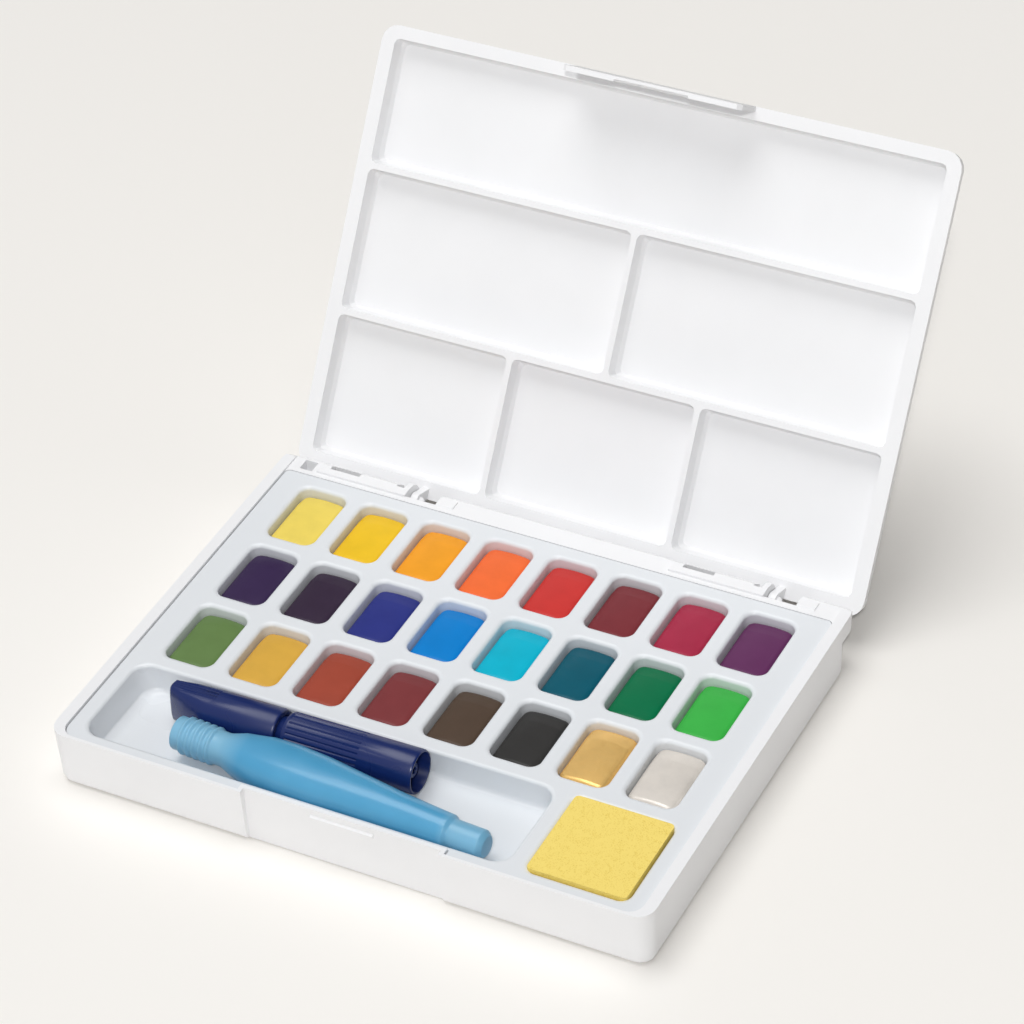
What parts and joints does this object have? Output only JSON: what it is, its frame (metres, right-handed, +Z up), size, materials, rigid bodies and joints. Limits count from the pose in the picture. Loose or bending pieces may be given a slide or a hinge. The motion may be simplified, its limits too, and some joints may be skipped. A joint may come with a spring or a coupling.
{
  "type": "watercolour paint box",
  "caption": "Open watercolour paint box with a hinged palette lid, a lift-out tray of pressed paint cakes, a sponge and a two-part water brush.",
  "frame": {"origin": "middle of the flat underside, halfway between the front face and the back of the hinge ledge", "axes": "+X to the right seen from the front, +Y towards the hinge, +Z up"},
  "size_m": [0.1964, 0.2328, 0.1386],
  "materials": {
    "case_white": "moulded, satin gloss",
    "tray_white": "moulded, satin gloss",
    "sponge_yellow": "open-pored foam, dry",
    "reservoir_blue": "translucent, glossy",
    "navy": "glossy",
    "bristle_cream": "fine fibres",
    "paint_lemon_yellow": "pressed pigment, matt",
    "paint_cadmium_yellow": "pressed pigment, matt",
    "paint_yellow_orange": "pressed pigment, matt",
    "paint_orange": "pressed pigment, matt",
    "paint_vermilion": "pressed pigment, matt",
    "paint_madder": "pressed pigment, matt",
    "paint_crimson": "pressed pigment, matt",
    "paint_violet": "pressed pigment, matt",
    "paint_deep_violet": "pressed pigment, matt",
    "paint_indigo": "pressed pigment, matt",
    "paint_ultramarine": "pressed pigment, matt",
    "paint_sky_blue": "pressed pigment, matt",
    "paint_turquoise": "pressed pigment, matt",
    "paint_teal": "pressed pigment, matt",
    "paint_emerald": "pressed pigment, matt",
    "paint_light_green": "pressed pigment, matt",
    "paint_olive_green": "pressed pigment, matt",
    "paint_ochre": "pressed pigment, matt",
    "paint_rust": "pressed pigment, matt",
    "paint_brown_red": "pressed pigment, matt",
    "paint_umber": "pressed pigment, matt",
    "paint_black": "pressed pigment, matt",
    "paint_gold": "pressed pigment, pearly",
    "paint_pearl_white": "pressed pigment, pearly"
  },
  "bodies": {
    "base": {"base_box": "case_white"},
    "lid": {"lid": "case_white"},
    "tray": {"paint_tray": "tray_white", "cake_01_lemon_yellow": "paint_lemon_yellow", "cake_02_cadmium_yellow": "paint_cadmium_yellow", "cake_03_yellow_orange": "paint_yellow_orange", "cake_04_orange": "paint_orange", "cake_05_vermilion": "paint_vermilion", "cake_06_madder": "paint_madder", "cake_07_crimson": "paint_crimson", "cake_08_violet": "paint_violet", "cake_09_deep_violet": "paint_deep_violet", "cake_10_indigo": "paint_indigo", "cake_11_ultramarine": "paint_ultramarine", "cake_12_sky_blue": "paint_sky_blue", "cake_13_turquoise": "paint_turquoise", "cake_14_teal": "paint_teal", "cake_15_emerald": "paint_emerald", "cake_16_light_green": "paint_light_green", "cake_17_olive_green": "paint_olive_green", "cake_18_ochre": "paint_ochre", "cake_19_rust": "paint_rust", "cake_20_brown_red": "paint_brown_red", "cake_21_umber": "paint_umber", "cake_22_black": "paint_black", "cake_23_gold": "paint_gold", "cake_24_pearl_white": "paint_pearl_white"},
    "sponge": {"sponge": "sponge_yellow"},
    "reservoir": {"brush_reservoir": "reservoir_blue"},
    "cap": {"brush_cap": "navy"},
    "grip": {"brush_grip": "navy", "brush_bristles": "bristle_cream"}
  },
  "joints": [
    {"name": "lid_hinge", "type": "hinge", "parent": "base", "child": "lid", "pos_m": [0, 0.07057, 0.0146], "axis": [-1, 0, 0], "range_deg": [-123.6, 0]},
    {"name": "tray_lift", "type": "slide", "parent": "base", "child": "tray", "axis": [0, 0, 1], "range_m": [0, 0.025]},
    {"name": "sponge_lift", "type": "slide", "parent": "tray", "child": "sponge", "axis": [0, 0, 1], "range_m": [0, 0.02]},
    {"name": "reservoir_lift", "type": "slide", "parent": "tray", "child": "reservoir", "axis": [0, 0, 1], "range_m": [0, 0.02]},
    {"name": "brush_lift", "type": "slide", "parent": "tray", "child": "cap", "axis": [0, 0, 1], "range_m": [0, 0.02]},
    {"name": "cap_pull", "type": "slide", "parent": "cap", "child": "grip", "axis": [0.9999, 0.014, 0], "range_m": [0, 0.03]}
  ]
}
